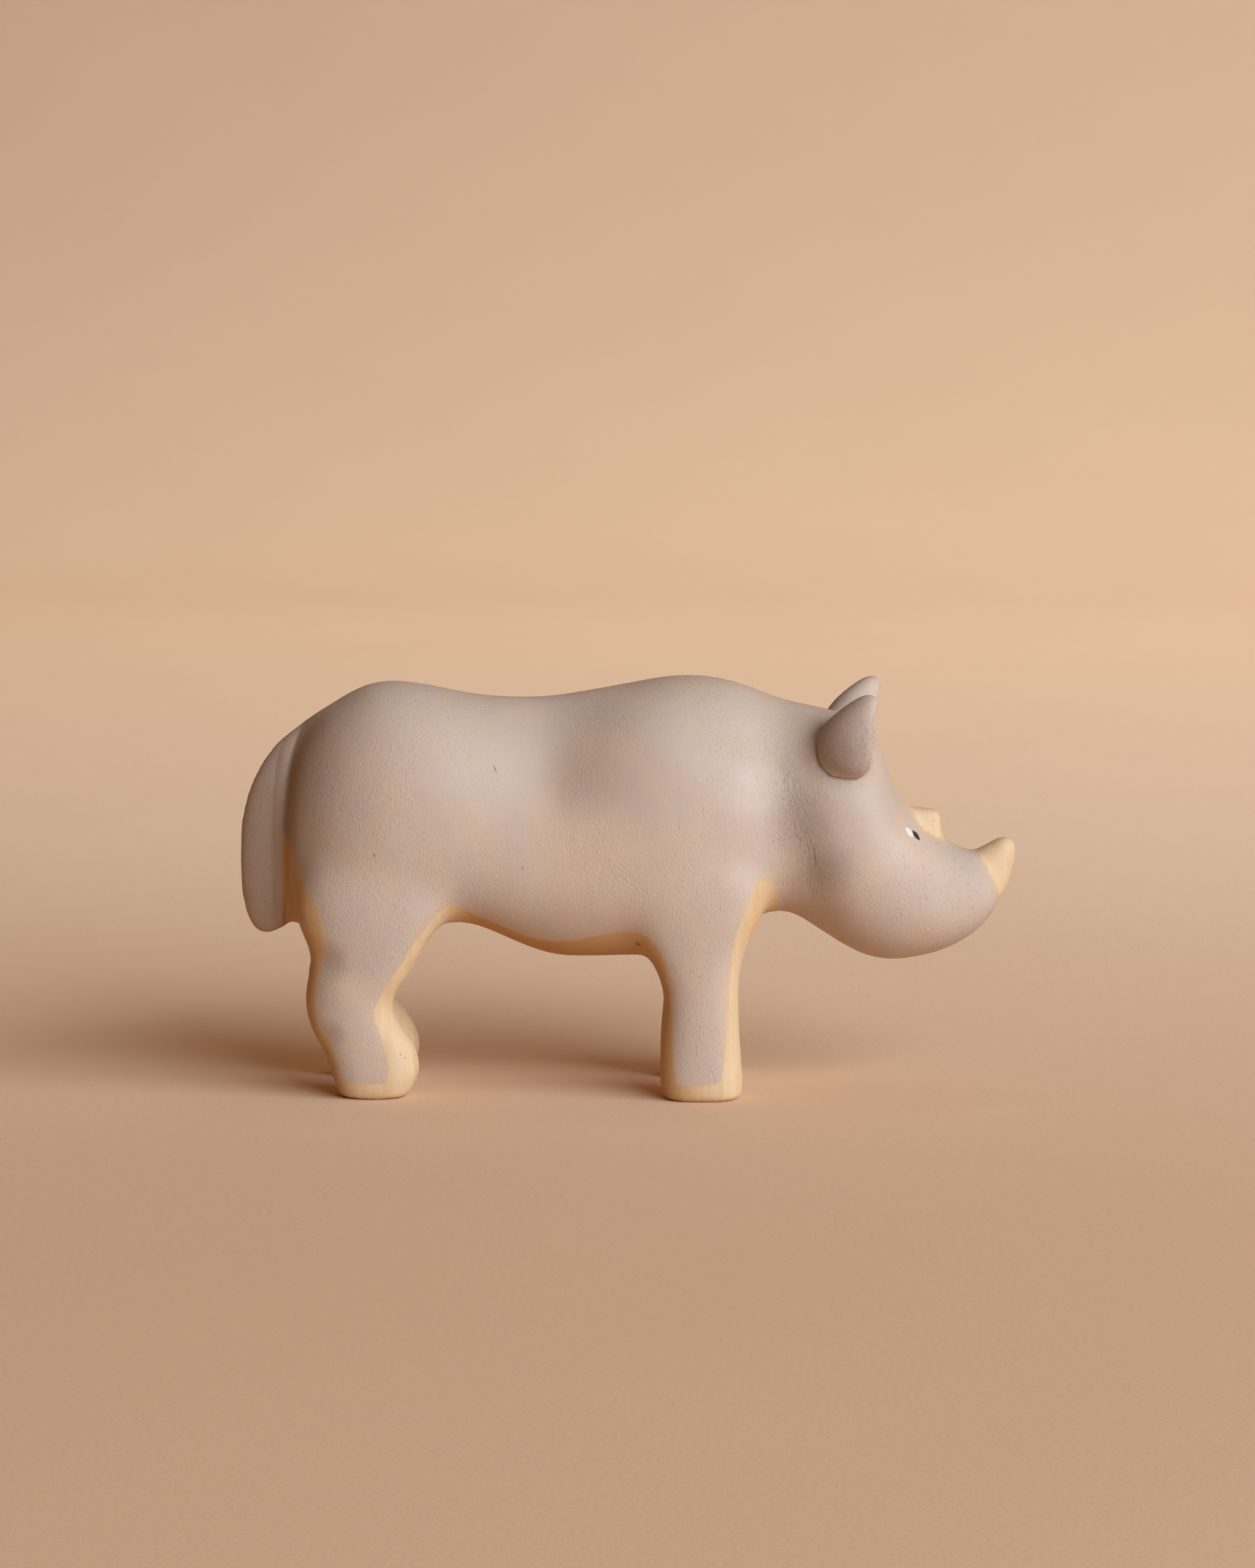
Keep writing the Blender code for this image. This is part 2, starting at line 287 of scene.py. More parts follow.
def toolMarkTree():
    tree = bpy.data.node_groups.new("knifeAndGrainMarks", "GeometryNodeTree")
    face = tree.interface
    face.new_socket("Body", in_out="INPUT", socket_type="NodeSocketGeometry")
    for name in toolMarks:
        face.new_socket(name, in_out="INPUT", socket_type="NodeSocketFloat")
    face.new_socket("Finish", in_out="INPUT", socket_type="NodeSocketMaterial")
    face.new_socket("Body", in_out="OUTPUT", socket_type="NodeSocketGeometry")
    given = tree.nodes.new("NodeGroupInput").outputs
    place = addNode(tree, "GeometryNodeInputPosition").outputs[0]
    normal = addNode(tree, "GeometryNodeInputNormal").outputs[0]

    # wide shallow facets that a knife leaves
    facetScale = maths(tree, "DIVIDE", 1.0, given["Facet Size"])
    facets = noise(tree, place, facetScale, *markNoise["facets"], given["Seed"])
    facetLift = product(tree, maths(tree, "SUBTRACT", facets, markNoise["level"]), given["Facet Depth"])

    # raised grain, long in the direction of the fibres
    ridgeScale = maths(tree, "DIVIDE", 1.0, given["Ridge Width"])
    squeeze = maths(tree, "DIVIDE", given["Ridge Width"], given["Ridge Length"])
    x, y, z = split(tree, place)
    ridges = noise(tree, joined(tree, x, y, product(tree, z, squeeze)), ridgeScale, *markNoise["ridges"],
                   given["Seed"])
    ridgeLift = product(tree, maths(tree, "SUBTRACT", ridges, markNoise["level"]), given["Ridge Depth"])

    offset = scaled(tree, normal, maths(tree, "ADD", facetLift, ridgeLift))
    moved = addNode(tree, "GeometryNodeSetPosition", {"Geometry": given["Body"], "Offset": offset})
    smooth = addNode(tree, "GeometryNodeSetShadeSmooth", {"Geometry": moved.outputs[0]})
    real = addNode(tree, "GeometryNodeRealizeInstances", {"Geometry": smooth.outputs[0]})
    dressed = addNode(tree, "GeometryNodeSetMaterial",
                      {"Geometry": real.outputs[0], "Material": given["Finish"]})
    result = tree.nodes.new("NodeGroupOutput")
    tree.links.new(dressed.outputs[0], result.inputs["Body"])
    return tree


def addToolMarks(piece, wood):
    tree = toolMarkTree()
    marks = piece.modifiers.new("knife and grain marks", "NODES")
    marks.node_group = tree
    for item in tree.interface.items_tree:
        if item.in_out == "INPUT" and item.name in toolMarks:
            marks[item.identifier] = toolMarks[item.name]
        elif item.in_out == "INPUT" and item.name == "Finish":
            marks[item.identifier] = wood
    applyModifiers(piece)


def keptInBox(piece):
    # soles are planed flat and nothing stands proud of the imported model
    places = vectorsOf(piece.data, "co")
    places[places[:, 2] * perMetre < carving["solesFlatBelowMm"], 2] = cadBox[0].z
    places = np.clip(places, np.array(cadBox[0]), np.array(cadBox[1]))
    putPlaces(piece.data, places)


# dips and cuts in the carved body

hollows = {
    # where the hind legs dip and swell on their outer faces: x, z, reach, depth in mm
    "places": [(-61.5, 28.8, 5.5, 0.75), (-61.0, 13.3, 4.2, 0.55), (-58.0, 21.5, 6.0, -0.35)],
    "outsideMm": (10.0, 14.0),
}

tail = {
    # the cut between the tail and the haunch, from the rump down
    "crease": [(-65.7, 76.4), (-67.0, 74.2), (-68.2, 71.8), (-69.2, 69.0), (-69.7, 66.1), (-70.1, 62.5),
               (-70.3, 59.0), (-70.5, 54.5), (-70.6, 51.1), (-70.6, 48.0), (-70.5, 42.0), (-70.5, 33.0)],
    "haunchReachMm": 3.8,            # the haunch falls gently into the cut
    "tailReachMm": 0.45,             # and the tail rises steeply out of it
    "grooveDepthMm": 0.65,
    "fadeFromMm": 76.0,              # the cut runs out towards the top of the rump
    "fadeToMm": 68.0,
    "lowerEndMm": (33, 36),
    "stepMm": 0.22,                  # how much the tail's edge stands out in the relief
    "stepRiseMm": (-0.12, 0.32),
    "stepFallMm": (1.2, 2.6),
    # painted shade darkening the bottom of each cut, beside the tail and round the ears
    "creaseShadeShare": 0.35,
    "creaseShadeReachMm": 0.55,
    "creaseShadeAboveMm": (50.0, 56.0),
    "creaseShadeColour": (0.20, 0.125, 0.080, 1),
    "haunchShadeShare": 0.5,              # painted shade on the haunch side of the cut
    "haunchShadeReachMm": 5.6,
    "haunchShadePastMm": 0.35,            # and a little past its bottom
    "haunchShadeAboveMm": (49.0, 66.0),
    "haunchShadeLowShare": 0.2,           # what is left of it below that
    "haunchShadeBehindMm": (-60.0, -50.0),
}

ears = {
    # the foot of the right ear, round its back, underside and front
    "crease": [(38.3, 73.8), (38.4, 71.3), (38.9, 69.0), (40.2, 67.4), (41.5, 66.4), (44.1, 65.9),
               (46.7, 65.8), (48.2, 66.4), (49.1, 68.2), (49.8, 69.9), (50.3, 72.0)],
    "leftEarShift": (1.5, 0.7),      # x, z
    "headReachMm": 1.5,
    "earReachMm": 0.4,
    "grooveDepthMm": 0.5,
    "fadeFromMm": 75.0,
    "fadeToMm": 71.0,
    "outsideMm": 9,                  # the cut stays in this block: y, x and x, z
    "behindMm": 33,
    "aheadMm": 56,
    "aboveMm": 60,
}

creaseMarks = {
    "keptMm": 6,                     # distances to a cut are kept up to here
    "seenMm": (3, 5),                # and the finish fades out between these
}

farOff = 1e9             # further than any point here, in millimetres


def distanceToOutline(points, outline):
    # millimetres to a closed outline, positive inside it
    corners = np.array(outline, float)
    nearest = np.full(len(points), farOff)
    inside = np.zeros(len(points), bool)
    x, z = points.T
    for start, end in zip(corners, np.roll(corners, -1, axis=0)):
        run = end - start
        share = np.clip(((points - start) @ run) / (run @ run), 0, 1)
        gap = points - start - share[:, None] * run
        nearest = np.minimum(nearest, np.hypot(gap[:, 0], gap[:, 1]))
        spans = (start[1] > z) != (end[1] > z)
        if start[1] != end[1]:
            crossing = start[0] + (z - start[1]) * (end[0] - start[0]) / (end[1] - start[1])
            inside ^= spans & (x < crossing)
    return np.where(inside, nearest, -nearest)


def sideOfLine(points, line):
    # millimetres to an open line, positive on its left as it runs
    corners = np.array(line, float)
    nearest = np.full(len(points), farOff)
    signed = np.zeros(len(points))
    for start, end in zip(corners, corners[1:]):
        run = end - start
        share = np.clip(((points - start) @ run) / (run @ run), 0, 1)
        gap = points - start - share[:, None] * run
        size = np.hypot(gap[:, 0], gap[:, 1])
        side = np.sign(run[0] * gap[:, 1] - run[1] * gap[:, 0])
        closer = size < nearest
        nearest = np.where(closer, size, nearest)
        signed = np.where(closer, side * size, signed)
    return signed


def pressHollows(piece):
    places = vectorsOf(piece.data, "co")
    x, y, z = (places * perMetre).T
    for middleX, middleZ, reach, depth in hollows["places"]:
        near = 1 - between(np.hypot(x - middleX, z - middleZ), 0, reach)
        near *= between(np.abs(y), *hollows["outsideMm"])
        places[:, 1] -= np.sign(y) * near * depth / perMetre
    putPlaces(piece.data, places)


def cutProfile(gap, steepMm, gentleMm):
    # 1 at the bottom of a cut and 0 past the reach of either side
    away = np.where(gap > 0, gap / steepMm, -gap / gentleMm)
    return np.clip(1 - away, 0, 1) ** 2


def cutCreases(piece):
    # the cuts beside the tail and round the foot of each ear
    mesh = piece.data
    places = vectorsOf(mesh, "co")
    x, y, z = (places * perMetre).T
    sideView = np.column_stack((x, z))
    gap = -sideOfLine(sideView, tail["crease"])
    fade = under(z, tail["fadeFromMm"], tail["fadeToMm"]) * between(z, *tail["lowerEndMm"])
    depth = tail["grooveDepthMm"] * cutProfile(gap, tail["tailReachMm"], tail["haunchReachMm"]) * fade
    lead, lift = ears["leftEarShift"]
    for hand, shiftX, shiftZ in ((-1, 0, 0), (1, lead, lift)):
        line = [(cornerX + shiftX, cornerZ + shiftZ) for cornerX, cornerZ in ears["crease"]]
        earGap = sideOfLine(sideView, line)
        nearEar = (hand * y > ears["outsideMm"]) & (z > ears["aboveMm"])
        nearEar &= (x > ears["behindMm"]) & (x < ears["aheadMm"])
        earFade = under(z, ears["fadeFromMm"] + shiftZ, ears["fadeToMm"] + shiftZ)
        earCut = cutProfile(earGap, ears["earReachMm"], ears["headReachMm"])
        depth = np.where(nearEar, ears["grooveDepthMm"] * earCut * earFade, depth)
        gap = np.where(nearEar, earGap, gap)
        fade = np.where(nearEar, earFade, fade)
    putPlaces(mesh, places - vectorsOf(mesh, "normal") * depth[:, None] / perMetre)
    keepValues(mesh, "creaseMm", np.clip(gap, -creaseMarks["keptMm"], creaseMarks["keptMm"]))
    keepValues(mesh, "creaseShare", fade * (1 - between(np.abs(gap), *creaseMarks["seenMm"])))


# where the stain ends, as a side view in millimetres

stain = {
    "haunchBack": [(-70.1, 52.5), (-69.3, 52.0), (-68.1, 48.2), (-66.6, 46.1), (-65.1, 43.2), (-63.6, 41.1),
                   (-62.4, 38.0), (-61.6, 34.5), (-61.4, 32.3), (-62.0, 29.1), (-62.5, 26.0), (-63.2, 23.0),
                   (-63.3, 20.0), (-63.4, 16.9), (-62.8, 14.6), (-60.9, 12.5), (-59.7, 9.4), (-58.7, 6.4)],
    "hindFoot": [(-58.3, 3.6), (-53.5, 3.4), (-48.7, 3.6)],
    "hindLegFront": [(-48.3, 6.6), (-48.6, 8.9), (-49.2, 11.1), (-50.3, 14.0), (-51.2, 16.3), (-51.3, 18.6),
                     (-50.4, 20.8), (-49.2, 22.8), (-48.0, 24.6), (-46.7, 26.9), (-44.9, 29.5), (-43.4, 32.2),
                     (-41.5, 34.8), (-39.7, 36.9), (-38.5, 38.3), (-36.8, 39.7), (-35.7, 40.4)],
    "belly": [(-34.2, 39.6), (-31.3, 37.9), (-28.4, 36.4), (-25.4, 35.2), (-22.4, 33.7), (-19.5, 32.7),
              (-16.5, 32.2), (-13.5, 32.1), (-10.5, 32.6), (-7.5, 33.3), (-4.6, 34.0), (-1.6, 34.5),
              (1.4, 34.9), (2.8, 34.5), (4.3, 33.9)],
    "foreLegBack": [(5.8, 32.3), (7.3, 30.1), (7.9, 27.8), (8.3, 24.7), (8.8, 21.6), (9.1, 17.2),
                    (9.4, 12.8), (9.5, 8.4), (9.8, 5.4)],
    "foreFoot": [(10.3, 3.7), (14.4, 3.5), (18.4, 3.9)],
    "foreLegFront": [(19.2, 4.5), (19.9, 7.0), (20.3, 11.4), (20.6, 17.3), (20.9, 23.3), (21.2, 26.3),
                     (21.5, 29.3), (21.9, 32.4), (22.6, 35.3), (23.8, 38.2), (25.0, 41.0), (26.2, 43.1),
                     (26.9, 44.9), (28.3, 45.5), (29.5, 45.1), (30.1, 43.4), (30.6, 40.8), (31.1, 38.3)],
    "roundTheFigure": [(31.3, 20), (110, 20), (110, 120), (-110, 120), (-110, 20), (-70.7, 20),
                       (-70.5, 34.4), (-70.5, 42.0), (-70.6, 48.0), (-70.4, 51.1)],
    "rearHorn": [(57.0, 58.8), (58.9, 57.5), (59.7, 55.5), (60.9, 53.9), (62.9, 52.7), (65.2, 51.8),
                 (66.5, 60.0), (62.0, 66.0), (56.8, 64.0)],
    "frontHorn": [(72.4, 48.7), (73.1, 47.5), (74.2, 45.9), (75.4, 43.2), (76.3, 41.1), (77.0, 39.2),
                  (90.0, 36.0), (90.0, 60.0), (72.0, 60.0), (72.0, 50.0)],
    "innerLegMm": 12.0,      # legs are bare from here inwards
    "innerTopMm": 36.0,      # and so is what lies between them, up to here
    "chestMm": 31.0,         # but the jaw in front of this is stained right round
    "tailMm": -70.3,         # and so is the tail behind this
}

stainRuns = ("haunchBack", "hindFoot", "hindLegFront", "belly", "foreLegBack", "foreFoot", "foreLegFront",
             "roundTheFigure")


def markStainEdge(piece):
    # millimetres to the end of the stain, positive where the wood is stained
    places = vectorsOf(piece.data, "co") * perMetre
    sideView = places[:, (0, 2)]
    edge = distanceToOutline(sideView, [point for run in stainRuns for point in stain[run]])
    for horn in ("rearHorn", "frontHorn"):
        edge = np.minimum(edge, -distanceToOutline(sideView, stain[horn]))
    outerFace = np.abs(places[:, 1]) - stain["innerLegMm"]
    above = places[:, 2] - stain["innerTopMm"]
    ahead = places[:, 0] - stain["chestMm"]
    behind = stain["tailMm"] - places[:, 0]
    edge = np.minimum(edge, np.maximum.reduce([outerFace, above, ahead, behind]))
    keepValues(piece.data, "stainEdgeMm", edge)


# the finish: stained flanks over bare wood, and painted eyes

finish = {
    "stainCool": (0.512, 0.375, 0.284, 1),
    "stainWarm": (0.530, 0.374, 0.268, 1),
    "stainThin": (0.600, 0.404, 0.264, 1),
    "stainPale": (0.710, 0.482, 0.328, 1),
    # painted sheen: a whitish tone laid where the shoulder catches the light
    "paintedSheenTone": (0.640, 0.520, 0.440, 1),
    # painted shade: a darker stain tone laid where the form turns away from the light
    "paintedShadeTone": (0.330, 0.218, 0.150, 1),
    # rounds of another tone on the near side: x, z, reach in mm, share; the sheen rounds are a painted sheen
    # and the shade rounds painted shade
    "palePlaces": [(-9, 50, 12, 0.62), (6, 47, 14, 0.3), (-55, 50, 13, 0.25), (15, 24, 9, 0.2)],
    "paintedSheenPlaces": [(24.5, 64, 6, 0.30)],
    "paintedShadePlaces": [(-63, 28, 4, 0.30), (-62, 13, 3, 0.25), (36, 57, 6, 0.45), (41, 48, 5, 0.50),
                    (-9, 66, 7, 0.30), (41, 72, 6, 0.55), (45, 76, 7, 0.22), (-75, 48, 22, 0.45),
                    (-64, 70, 8, 0.2), (51, 60, 7, 0.17), (70, 43, 6, 0.10)],
    "placeFade": (0.2, 1.5),         # as shares of the reach
    "nearSideMm": (-4.0, 4.0),
    "warmCloud": (0.38, 0.62),
    "thinPatch": (0.50, 0.74),
    "thinPatchShare": 0.5,
    "thinEdgeMm": 1.6,               # the stain lies thinner near its edge
    "thinEdgeShare": 0.40,
    "edgeSoftMm": 0.26,
    "edgeWobbleMm": 0.6,
    "poreDark": (0.200, 0.120, 0.080, 1),
    "poreInStain": 0.15,
    "poreInWood": 0.35,

    # bare wood, pale with warm year lines
    "woodPale": (0.660, 0.444, 0.248, 1),
    "woodDeep": (0.600, 0.370, 0.175, 1),
    # painted shade: a deeper, more orange bare-wood tone
    "bareShadeTone": (0.520, 0.262, 0.088, 1),
    "yearSqueeze": (0.45, 0.035),    # across the thickness and up the figure
    "yearLine": (0.42, 0.66),
    "yearShare": 0.6,
    # painted shade: the bare wood is deeper and more orange behind the haunch, under the belly and at the
    # throat
    "bareShadeBehindMm": (-60.0, -54.0),
    "bareShadeBehindShare": 0.65,
    "bareShadeBellyMm": (-38.0, -29.0),
    "bareShadeBellyEndMm": (10.0, 17.0),
    "bareShadeBellyEaseMm": (-14.0, -2.0),
    "bareShadeBellyFrontShare": 0.72,
    "bareShadeThroatMm": (21.0, 26.0),
    "bareShadeThroatEndMm": (34.0, 40.0),
    "bareShadeThroatAboveMm": (28.0, 36.0),
    "bareShadeThroatShare": 0.34,

    # fibres run up the figure
    "fibreSqueeze": 0.36,            # they are longer than wide by one over this
    "fibreSwing": 0.32,              # and lean forward on the cheeks
    "fibreSwingMm": (30.0, 52.0),
    "fibreWanderMm": 1.6,
    "ridgeLevel": (0.54, 0.68),
    "poreLevel": (0.64, 0.73),
    "fibreInGrain": 0.68,
    "crumbsInGrain": 0.32,

    # each noise: scale per mm, detail, roughness, seed
    "fibreNoise": (3.0, 3.0, 0.62, 1.0),
    "ridgeNoise": (4.4, 2.0, 0.5, 2.0),
    "poreNoise": (3.2, 2.0, 0.55, 3.0),
    "patchNoise": (0.085, 3.0, 0.55, 4.0),
    "cloudNoise": (0.16, 2.0, 0.5, 5.0),
    "roughNoise": (0.10, 2.0, 0.5, 6.0),
    "yearNoise": (0.85, 3.0, 0.6, 7.0),
    "edgeNoise": (0.55, 3.0, 0.6, 8.0),
    "wanderNoise": (0.09, 1.0, 0.5, 9.0),
    "crumbNoise": (3.4, 2.0, 0.6, 11.0),

    # relief, rougher in some areas than in others
    "grainHeightMm": 0.150,
    "ridgeHeightMm": 0.030,
    "pitHeightMm": 0.06,
    "bareRelief": 0.35,              # the share of it on the bare wood
    "roughLevel": (0.38, 0.60),
    "roughRange": (0.55, 1.15),
    "combedRough": [(36, 54, 13, 0.65), (45, 73, 8, 1.3), (-62, 62, 10, 0.3)],   # x, z, reach in mm, gain
    "combedFade": (0.4, 1.2),
    "sandedSmooth": [(-27, 63, 20), (6, 66, 13), (52, 56, 11), (21, 20, 8)],     # x, z, reach in mm
    "sandedFade": (0.3, 1.3),
    "sandedRelief": 0.35,
    "roughness": 0.48,
    "roughnessOfArea": 0.14,
    "roughnessOfGrain": 0.08,
}

furrows = {
    # long fine grooves down the front of the shoulder, along a leaning line
    "topMm": (32.7, 68.2),           # x, z
    "lean": 0.24,                    # how far they run forward for each millimetre down
    "halfWidthMm": 2.6,
    "fullWidthShare": 0.4,
    "lowestMm": 41.0,
    "highestMm": 69.0,
    "fadeMm": 4,                     # to either side of both ends
    "noise": (4.6, 2.0, 0.5, 12.0),  # scale per mm, detail, roughness, seed
    "level": (0.46, 0.62),
    "squeeze": 0.10,
    "depthMm": 0.085,
}

eye = {
    "whitePlaceMm": (57.7, 54.3),    # x, z
    "whiteSizeMm": (0.43, 1.15),     # half width, half height
    "whitePowers": (1.8, 2.0),
    "darkPlaceMm": (59.1, 53.5),
    "darkSizeMm": (0.38, 1.30),
    "darkPowers": (1.0, 2.0),        # a power of 1 points the ends, as on an almond
    "leanDegrees": 38,
    "edge": (0.85, 1.15),
    "whiteColour": (0.66, 0.63, 0.57, 1),
    "darkColour": (0.022, 0.012, 0.010, 1),
}

marks = {
    "knotMm": (2.5, -15.9, 32.2),
    "knotSizeMm": (0.15, 1.0),       # full to the first, gone by the second
    "knotShare": 0.9,
    "knotColour": (0.22, 0.070, 0.025, 1),
    # fine dark fibres and open pores on the near side: x, z, lean in degrees, half width, half length, share
    "fibres": [(38.3, 50.2, 7, 0.16, 2.5, 0.5), (-26.6, 68.0, 25, 0.16, 0.9, 0.6),
               (-51.0, 50.9, 10, 0.20, 0.45, 0.6), (-21.0, 48.0, 0, 0.20, 0.35, 0.5),
               (-46.0, 9.5, 0, 0.20, 0.30, 0.4), (-45.1, 8.7, 0, 0.18, 0.25, 0.4)],
    "fibrePowers": (2.0, 2.0),
    "fibreEdge": (0.3, 1.4),
    "fibreColour": (0.090, 0.050, 0.035, 1),
    # on the horns, partly their own mottled brown and partly painted shade on their upper faces: x, z, reach
    # in mm, share
    "hornMottleAndShade": [(72.2, 50.7, 2.4, 0.45), (75.2, 51.8, 2.2, 0.22), (58.6, 60.0, 1.8, 0.25)],
    "hornMottleAndShadeFade": (0.1, 1.2),
    "hornMottleAndShadeColour": (0.330, 0.215, 0.120, 1),
}


def aboutMiddle(tree, value):
    return maths(tree, "SUBTRACT", value, noiseMiddle)


def roundArea(tree, wood, place, reach, fade, inside, outside):
    # one value in a round area of the side view and another outside it
    away = distance(tree, wood["flat"], (place[0], 0, place[1]))
    return stretched(tree, away, fade[0] * reach, fade[1] * reach, inside, outside, soft=True)


def spot(tree, wood, place, size, lean, powers):
    # a leaning closed shape in the side view: under 1 inside, over 1 outside
    turn = math.radians(lean)
    dx = maths(tree, "SUBTRACT", wood["x"], place[0])
    dz = maths(tree, "SUBTRACT", wood["z"], place[1])
    across = maths(tree, "ADD", product(tree, dx, math.cos(turn)), product(tree, dz, math.sin(turn)))
    along = maths(tree, "SUBTRACT", product(tree, dz, math.cos(turn)), product(tree, dx, math.sin(turn)))
    parts = []
    for offset, half, power in zip((across, along), size, powers):
        share = maths(tree, "DIVIDE", maths(tree, "ABSOLUTE", offset), half)
        parts.append(maths(tree, "POWER", share, power))
    return maths(tree, "ADD", *parts)


def woodPatterns(tree):
    # what the finish is drawn from: places in millimetres, fibres, pores and clouds
    place = addNode(tree, "ShaderNodeTexCoord").outputs["Object"]
    mm = scaled(tree, place, perMetre)
    x, y, z = split(tree, mm)
    swing = stretched(tree, x, *finish["fibreSwingMm"], soft=True)
    swing = product(tree, z, product(tree, swing, finish["fibreSwing"]))
    wander = aboutMiddle(tree, noise(tree, mm, *finish["wanderNoise"]))
    wander = product(tree, wander, finish["fibreWanderMm"])
    leant = maths(tree, "ADD", maths(tree, "ADD", x, wander), swing)
    fibre = joined(tree, leant, y, product(tree, z, finish["fibreSqueeze"]))
    grain = maths(tree, "ADD",
                  product(tree, noise(tree, fibre, *finish["fibreNoise"]), finish["fibreInGrain"]),
                  product(tree, noise(tree, mm, *finish["crumbNoise"]), finish["crumbsInGrain"]))
    ridges = noise(tree, fibre, *finish["ridgeNoise"])
    pores = noise(tree, fibre, *finish["poreNoise"])
    return {
        "x": x, "y": y, "z": z, "mm": mm,
        "flat": joined(tree, x, 0.0, z),
        "grain": grain,
        "ridges": stretched(tree, ridges, *finish["ridgeLevel"], soft=True),
        "pores": stretched(tree, pores, *finish["poreLevel"], soft=True),
        "nearSide": stretched(tree, y, *finish["nearSideMm"], 1.0, 0.0),
        "crease": addNode(tree, "ShaderNodeAttribute", attribute_name="creaseMm").outputs["Fac"],
        "creaseShare": addNode(tree, "ShaderNodeAttribute", attribute_name="creaseShare").outputs["Fac"],
        "stainEdge": addNode(tree, "ShaderNodeAttribute", attribute_name="stainEdgeMm").outputs["Fac"],
    }


def roughAreas(tree, wood):
    # the wood was sanded in some areas and combed by the brush in others
    rough = stretched(tree, noise(tree, wood["mm"], *finish["roughNoise"]),
                      *finish["roughLevel"], *finish["roughRange"], soft=True)
    for x, z, reach in finish["sandedSmooth"]:
        area = roundArea(tree, wood, (x, z), reach, finish["sandedFade"],
                         finish["sandedRelief"], 1.0)
        rough = product(tree, rough, area)
    for x, z, reach, gain in finish["combedRough"]:
        rough = product(tree, rough, roundArea(tree, wood, (x, z), reach, finish["combedFade"],
                                               1 + gain, 1.0))
    return rough


def stainTone(tree, wood):
    # cool and warm clouds, and thin places where the wood glows through
    clouds = noise(tree, wood["mm"], *finish["cloudNoise"])
    tone = blended(tree, stretched(tree, clouds, *finish["warmCloud"], soft=True),
                   finish["stainCool"], finish["stainWarm"])
    patches = noise(tree, wood["mm"], *finish["patchNoise"])
    thin = stretched(tree, patches, *finish["thinPatch"], 0.0, finish["thinPatchShare"], soft=True)
    tone = blended(tree, thin, tone, finish["stainThin"])
    # then lighter rounds, a painted sheen and painted shade, on the near side only
    tints = (("palePlaces", "stainPale"), ("paintedSheenPlaces", "paintedSheenTone"), ("paintedShadePlaces", "paintedShadeTone"))
    for places, other in tints:
        for x, z, reach, share in finish[places]:
            area = roundArea(tree, wood, (x, z), reach, finish["placeFade"], share, 0.0)
            tone = blended(tree, product(tree, area, wood["nearSide"]), tone, finish[other])
    tone = blended(tree, product(tree, wood["pores"], finish["poreInStain"]), tone,
                   finish["poreDark"])
    thin = stretched(tree, wood["stainEdge"], 0.0, finish["thinEdgeMm"],
                     finish["thinEdgeShare"], 0.0, soft=True)
    return blended(tree, thin, tone, finish["woodDeep"])


def bareShadeShare(tree, wood):
    # painted shade on the bare wood behind the haunch, under the belly and at the throat
    x, z = wood["x"], wood["z"]
    haunch = stretched(tree, x, *finish["bareShadeBehindMm"], finish["bareShadeBehindShare"], 0.0, soft=True)
    belly = product(tree, stretched(tree, x, *finish["bareShadeBellyMm"], soft=True),
                    stretched(tree, x, *finish["bareShadeBellyEndMm"], 1.0, 0.0, soft=True),
                    stretched(tree, x, *finish["bareShadeBellyEaseMm"], 1.0,
                              finish["bareShadeBellyFrontShare"]))
    throat = product(tree, stretched(tree, x, *finish["bareShadeThroatMm"], 0.0,
                                     finish["bareShadeThroatShare"], soft=True),
                     stretched(tree, z, *finish["bareShadeThroatAboveMm"], soft=True),
                     stretched(tree, x, *finish["bareShadeThroatEndMm"], 1.0, 0.0, soft=True))
    return maths(tree, "MAXIMUM", maths(tree, "MAXIMUM", haunch, belly), throat)


def bareTone(tree, wood):
    acrossYears, upYears = finish["yearSqueeze"]
    yearPlace = joined(tree, wood["x"], product(tree, wood["y"], acrossYears),
                       product(tree, wood["z"], upYears))
    years = noise(tree, yearPlace, *finish["yearNoise"])
    years = stretched(tree, years, *finish["yearLine"], 0.0, finish["yearShare"], soft=True)
    tone = blended(tree, years, finish["woodPale"], finish["woodDeep"])
    # darker patches on the horns: their own mottled brown and painted shade on their upper faces
    for x, z, reach, share in marks["hornMottleAndShade"]:
        area = roundArea(tree, wood, (x, z), reach, marks["hornMottleAndShadeFade"], share, 0.0)
        tone = blended(tree, area, tone, marks["hornMottleAndShadeColour"])
    # painted shade laid over the bare wood
    tone = blended(tree, bareShadeShare(tree, wood), tone, finish["bareShadeTone"])
    return blended(tree, product(tree, wood["pores"], finish["poreInWood"]), tone,
                   finish["poreDark"])


def coveredShare(tree, wood):
    # 1 under the stain, 0 on the bare wood, with a hand-drawn edge
    wobble = aboutMiddle(tree, noise(tree, wood["mm"], *finish["edgeNoise"]))
    edge = maths(tree, "ADD", wood["stainEdge"], product(tree, wobble, finish["edgeWobbleMm"]))
    return stretched(tree, edge, -finish["edgeSoftMm"], finish["edgeSoftMm"], soft=True)


